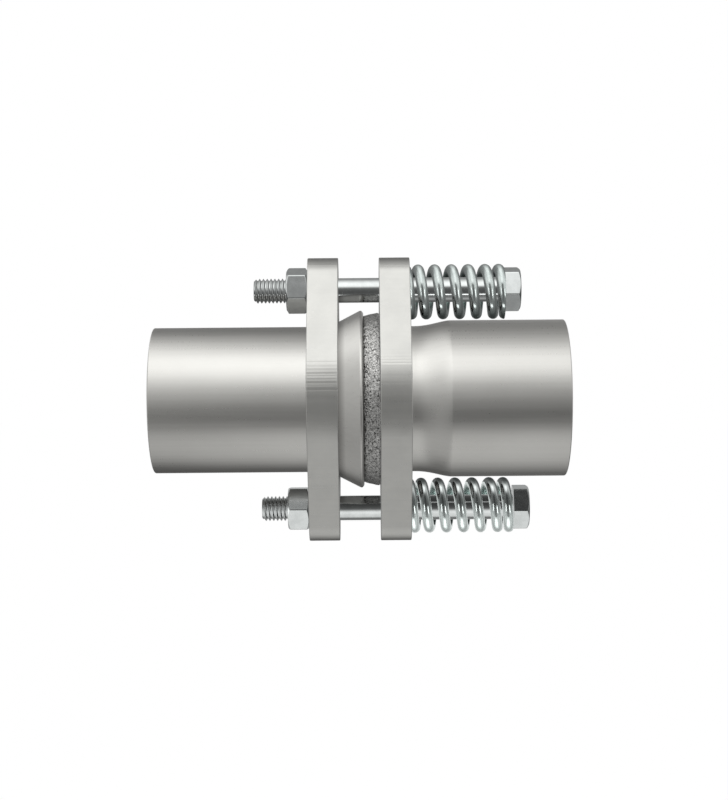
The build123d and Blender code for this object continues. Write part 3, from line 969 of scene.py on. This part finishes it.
def tent(name, radius, front, pieces, right=None, right_at=(0.040, 0.060), neck=None, side=None, side_right=None, side_at=(0.28, 0.42), pole=(0.2, 0.6), pole_right=None, pole_at=(0.88, 0.99), tint=(1, 1, 1), strips=(), indirect=(0.48, 0.50)):
    """A large soft light all round, seen only by the given pieces."""
    bm = bmesh.new()
    bmesh.ops.create_uvsphere(bm, u_segments=48, v_segments=32, radius=radius)
    me = bpy.data.meshes.new(name)
    bm.to_mesh(me)
    bm.free()
    me.polygons.foreach_set("use_smooth", [True] * len(me.polygons))
    ob = bpy.data.objects.new(name, me)
    scene.collection.objects.link(ob)
    ob.location = (0.082, 0, 0)
    m = bpy.data.materials.new(name)
    m.use_nodes = True
    nt = m.node_tree
    nt.nodes.clear()
    tc = nt.nodes.new("ShaderNodeTexCoord")
    unit = nt.nodes.new("ShaderNodeVectorMath")
    unit.operation = "NORMALIZE"
    nt.links.new(tc.outputs["Object"], unit.inputs[0])
    sep = nt.nodes.new("ShaderNodeSeparateXYZ")
    nt.links.new(unit.outputs[0], sep.inputs[0])
    dx, dy, dz = sep.outputs
    phi = math_node(nt, "ARCTAN2", dz, math_node(nt, "MULTIPLY", dy, -1.0))
    share = remap(nt, phi, -math.pi, math.pi, 0.0, 1.0)
    col = ramp_node(nt, share, front)
    wide = math_node(nt, "ABSOLUTE", dx)
    if right:
        col = mix_col(nt, remap(nt, dx, right_at[0], right_at[1], 0.0, 1.0), col, ramp_node(nt, share, right))
    if neck:
        near = math_node(nt, "MULTIPLY", remap(nt, dx, -0.34, -0.26, 0.0, 1.0), remap(nt, dx, -0.15, -0.09, 1.0, 0.0))
        col = mix_col(nt, near, col, ramp_node(nt, share, neck))
    if side:
        flank = ramp_node(nt, share, side)
        if side_right:
            flank = mix_col(nt, remap(nt, dx, -0.1, 0.1, 0.0, 1.0), flank, ramp_node(nt, share, side_right))
        col = mix_col(nt, remap(nt, wide, side_at[0], side_at[1], 0.0, 1.0), col, flank)
    end = nt.nodes.new("ShaderNodeCombineColor")
    level = remap(nt, dz, -1, 1, pole[0] / TOP, pole[1] / TOP)
    if pole_right:
        other = remap(nt, dz, -1, 1, pole_right[0] / TOP, pole_right[1] / TOP)
        share_r = remap(nt, dx, -0.1, 0.1, 0.0, 1.0)
        level = math_node(nt, "ADD", math_node(nt, "MULTIPLY", level, math_node(nt, "SUBTRACT", 1.0, share_r)), math_node(nt, "MULTIPLY", other, share_r))
    for i in range(3):
        nt.links.new(level, end.inputs[i])
    col = mix_col(nt, remap(nt, wide, pole_at[0], pole_at[1], 0.0, 1.0), col, end.outputs[0])
    # upright strip lights: middle and half width along x, middle and half height, brightness
    for cx, hw, cz, hz, val in strips:
        fx = remap(nt, math_node(nt, "ABSOLUTE", math_node(nt, "SUBTRACT", dx, cx)), hw * 0.6, hw, 1.0, 0.0)
        fz = remap(nt, math_node(nt, "ABSOLUTE", math_node(nt, "SUBTRACT", dz, cz)), hz * 0.7, hz, 1.0, 0.0)
        fy = remap(nt, dy, -0.05, 0.05, 1.0, 0.0)
        fac = math_node(nt, "MULTIPLY", math_node(nt, "MULTIPLY", fx, fz), fy)
        col = mix_col(nt, fac, col, (val / TOP, val / TOP, val / TOP))
    shade = nt.nodes.new("ShaderNodeMix")
    shade.data_type = "RGBA"
    shade.blend_type = "MULTIPLY"
    shade.inputs[0].default_value = 1.0
    nt.links.new(col, shade.inputs[6])
    shade.inputs[7].default_value = (*tint, 1)
    em = nt.nodes.new("ShaderNodeEmission")
    # light that arrives by way of a neighbouring piece is weaker
    path = nt.nodes.new("ShaderNodeLightPath")
    second = remap(nt, path.outputs["Ray Depth"], 1.0, 2.0, 0.0, 1.0)
    loss = math_node(nt, "MULTIPLY", second, remap(nt, dz, -0.3, 0.3, 1 - indirect[0], 1 - indirect[1]))
    nt.links.new(math_node(nt, "MULTIPLY", math_node(nt, "SUBTRACT", 1.0, loss), TOP), em.inputs["Strength"])
    nt.links.new(shade.outputs[2], em.inputs["Color"])
    clear = nt.nodes.new("ShaderNodeBsdfTransparent")
    add = nt.nodes.new("ShaderNodeAddShader")
    nt.links.new(em.outputs[0], add.inputs[0])
    nt.links.new(clear.outputs[0], add.inputs[1])
    o = nt.nodes.new("ShaderNodeOutputMaterial")
    nt.links.new(add.outputs[0], o.inputs["Surface"])
    m.cycles.emission_sampling = "NONE"
    me.materials.append(m)
    ob.visible_camera = False
    ob.visible_shadow = False
    group = bpy.data.collections.new(name + "_pieces")
    for p in pieces:
        group.objects.link(p)
    ob.light_linking.receiver_collection = group
    return ob


LEFT = [
    (-180, 0.34), (-165, 0.15), (-150, 0.07), (-135, 0.14), (-118, 0.39), (-104, 0.60), (-85, 0.70), (-65, 0.69),
    (-54, 0.57), (-46, 0.36), (-38, 0.19), (-28, 0.14), (-18, 0.17), (-8, 0.26), (0, 0.36), (10, 0.51), (20, 0.72),
    (28, 1.02), (36, 1.40), (50, 1.72), (66, 1.64), (76, 1.22), (86, 0.83), (98, 0.56), (112, 0.37), (132, 0.20), (150, 0.18), (165, 0.22), (180, 0.30),
]
NECK = [
    (-180, 0.20), (-160, 0.10), (-145, 0.07), (-130, 0.09), (-118, 0.14), (-104, 0.28), (-90, 0.38), (-66, 0.41),
    (-52, 0.38), (-42, 0.29), (-30, 0.25), (-18, 0.27), (-8, 0.38), (2, 0.52), (14, 0.68), (24, 0.82),
    (34, 1.00), (46, 1.30), (62, 1.42), (78, 1.30), (92, 1.10), (104, 0.78), (116, 0.48), (132, 0.27), (150, 0.23), (180, 0.30),
]
RIGHT = [
    (-180, 0.34), (-165, 0.16), (-150, 0.10), (-135, 0.19), (-118, 0.38), (-104, 0.54), (-85, 0.62), (-65, 0.62),
    (-54, 0.58), (-46, 0.40), (-38, 0.21), (-28, 0.12), (-18, 0.13), (-8, 0.21), (0, 0.32), (10, 0.40), (20, 0.50),
    (28, 0.70), (36, 0.96), (50, 1.22), (62, 1.15), (74, 0.92), (84, 0.70), (98, 0.48), (112, 0.34), (132, 0.26), (150, 0.29), (165, 0.40), (180, 0.45),
]
PLATE = [
    (-180, 0.34), (-165, 0.15), (-150, 0.07), (-135, 0.14), (-118, 0.39), (-104, 0.57), (-85, 0.60), (-65, 0.57),
    (-50, 0.47), (-39, 0.32), (-29, 0.255), (-10, 0.245), (8, 0.255), (18, 0.33), (26, 0.49), (36, 0.85), (46, 1.25),
    (56, 1.54), (66, 1.62), (76, 1.24), (86, 0.83), (98, 0.56), (112, 0.37), (132, 0.20), (150, 0.18), (165, 0.22), (180, 0.30),
]
PLATE_RIGHT = [
    (-180, 0.34), (-165, 0.15), (-150, 0.07), (-135, 0.14), (-118, 0.44), (-104, 0.65), (-85, 0.64), (-65, 0.52),
    (-50, 0.39), (-39, 0.30), (-23, 0.255), (0, 0.255), (16, 0.29), (29, 0.37), (43, 0.48), (52, 0.62), (57, 0.95), (62, 1.32),
    (70, 1.39), (78, 1.10), (86, 0.78), (98, 0.56), (112, 0.37), (132, 0.20), (150, 0.18), (165, 0.22), (180, 0.30),
]
SIDE = [
    (-180, 0.40), (-150, 0.22), (-130, 0.38), (-112, 0.42), (-90, 0.40), (-60, 0.40), (-30, 0.40), (0, 0.46), (25, 0.66), (45, 0.88),
    (66, 1.18), (85, 1.30), (100, 1.18), (118, 0.86), (135, 0.62), (150, 0.40), (180, 0.40),
]
SIDE_RIGHT = [
    (-180, 0.30), (-140, 0.15), (-100, 0.28), (-60, 0.28), (-20, 0.22), (0, 0.38), (20, 0.85), (45, 1.10), (70, 1.05), (95, 0.60), (130, 0.30), (180, 0.30),
]
UPPER = [
    (-180, 0.25), (-160, 0.12), (-130, 0.14), (-112, 0.30), (-100, 0.50), (-93, 0.48), (-86, 0.31), (-74, 0.25), (-62, 0.16), (-55, 0.16), (-52, 2.1), (-46, 2.1), (-43, 0.14),
    (-20, 0.10), (0, 0.13), (10, 0.17), (16, 0.22), (22, 0.40), (28, 0.78), (36, 1.38), (46, 1.48), (62, 1.50), (80, 1.20), (95, 0.80), (112, 0.45), (135, 0.32), (160, 0.30), (180, 0.28),
]
UPPER_SIDE = [
    (-180, 0.12), (-150, 0.06), (-90, 0.08), (-40, 0.08), (-12, 0.14), (4, 0.60), (24, 1.20), (60, 1.00), (100, 0.60), (130, 0.50), (152, 0.90), (164, 1.60), (173, 1.30), (180, 0.12),
]
LOWER = [
    (-180, 0.55), (-150, 0.30), (-125, 0.18), (-108, 0.26), (-98, 0.55), (-90, 0.88), (-60, 0.97), (-46, 1.12), (-34, 1.0), (-26, 0.70), (-18, 0.34), (-10, 0.16), (0, 0.11), (20, 0.07),
    (36, 0.06), (45, 0.06), (48, 0.55), (53, 0.55), (56, 0.05), (90, 0.06), (105, 0.08), (125, 0.10), (145, 0.25), (165, 0.45), (180, 0.55),
]
LOWER_SIDE = [
    (-180, 0.30), (-172, 1.30), (-163, 1.50), (-150, 0.80), (-125, 0.60), (-85, 0.95), (-40, 1.00), (-8, 0.80), (6, 0.20), (20, 0.08), (50, 0.08), (90, 0.12), (120, 0.08), (150, 0.06), (176, 0.10), (180, 0.30),
]
THREAD_RIGHT = [
    (-180, 0.10), (-150, 0.05), (-60, 0.06), (0, 0.12), (24, 0.45), (60, 0.50), (100, 0.30), (150, 0.12), (180, 0.10),
]
COIL_UP = [
    (-180, 0.16), (-150, 0.08), (-125, 0.10), (-105, 0.20), (-84, 0.26), (-76, 0.34), (-72, 1.90), (-62, 1.90), (-58, 0.34), (-45, 0.22), (-30, 0.18),
    (-8, 0.16), (14, 0.18), (28, 0.26), (34, 0.90), (40, 1.34), (55, 1.38), (90, 1.38), (110, 1.12), (126, 0.75), (140, 0.45), (158, 0.22), (180, 0.16),
]
COIL_UP_SIDE = [
    (-180, 0.20), (-130, 0.10), (-95, 0.20), (-50, 0.24), (-20, 0.40), (0, 0.60), (24, 0.85), (60, 1.05), (95, 0.80), (125, 0.32), (180, 0.20),
]
COIL_LOW = [
    (-180, 0.90), (-150, 0.62), (-128, 0.50), (-114, 0.90), (-98, 1.90), (-66, 1.95), (-56, 1.20), (-50, 0.32), (-36, 0.28), (-22, 0.20), (-8, 0.12),
    (10, 0.07), (30, 0.06), (46, 0.10), (56, 0.42), (66, 0.95), (84, 1.10), (94, 0.70), (106, 0.24), (126, 0.12), (166, 0.10), (180, 0.18),
]
COIL_LOW_SIDE = [
    (-180, 0.90), (-130, 0.55), (-95, 0.85), (-50, 0.70), (-20, 0.30), (0, 0.14), (30, 0.16), (60, 0.24), (90, 0.60), (112, 0.40), (135, 0.12), (180, 0.15),
]
body_pieces = [o for o in scene.objects if o.type == "MESH" and o.name.split("_visual")[0] in ("inlet_pipe", "outlet_pipe", "inlet_flange", "outlet_flange", "gasket") and "_visual" in o.name]
def hardware(side, coils):
    return [o for o in scene.objects if "_visual" in o.name and o.name.startswith(side) and ("spring" in o.name) == coils]


zinc_tint = (0.985, 1.0, 0.995)
wire_tint = (0.965, 1.0, 0.99)
plates = [o for o in body_pieces if "flange" in o.name]
others = [o for o in body_pieces if "flange" not in o.name]
tent("tent_pipes", 2.2, LEFT, others, right=RIGHT, neck=NECK, side=SIDE, side_right=SIDE_RIGHT, pole=(0.28, 0.78), pole_right=(0.25, 0.6), pole_at=(0.62, 0.76))
tent(
    "tent_plates", 2.1, PLATE, plates, right=PLATE_RIGHT, right_at=(-0.008, 0.004), side=SIDE, side_right=SIDE_RIGHT,
    pole=(0.25, 0.8), pole_right=(0.25, 0.6), pole_at=(0.62, 0.76),
)
for o in plates + [o for o in others if o.name.startswith("outlet_pipe")]:
    o.visible_glossy = False
tent("tent_upper", 2.3, UPPER, hardware("upper_", False), side=UPPER_SIDE, side_right=THREAD_RIGHT, side_at=(0.50, 0.78), pole=(0.05, 0.60), tint=zinc_tint)
tent("tent_lower", 2.4, LOWER, hardware("lower_", False), side=LOWER_SIDE, side_right=THREAD_RIGHT, side_at=(0.50, 0.78), pole=(0.70, 0.05), tint=zinc_tint)
tent(
    "tent_upper_coil", 2.5, COIL_UP, hardware("upper_", True), side=COIL_UP_SIDE, side_at=(0.20, 0.45), pole=(0.10, 0.35), tint=wire_tint,
    strips=((0.64, 0.11, -0.06, 0.28, 2.3), (-0.58, 0.10, -0.06, 0.28, 2.0)),
)
tent(
    "tent_lower_coil", 2.6, COIL_LOW, hardware("lower_", True), side=COIL_LOW_SIDE, side_at=(0.20, 0.45), pole=(0.55, 0.15), tint=wire_tint,
    strips=((0.64, 0.14, -0.22, 0.26, 2.5), (-0.58, 0.13, -0.22, 0.26, 2.4)),
)
for o in hardware("upper_", True) + hardware("lower_", True) + hardware("upper_", False) + hardware("lower_", False):
    o.visible_glossy = False

scene.view_settings.view_transform = "Standard"
scene.view_settings.look = "None"
scene.cycles.use_denoising = True
scene.cycles.max_bounces = 10
scene.cycles.glossy_bounces = 6
scene.cycles.transparent_max_bounces = 16
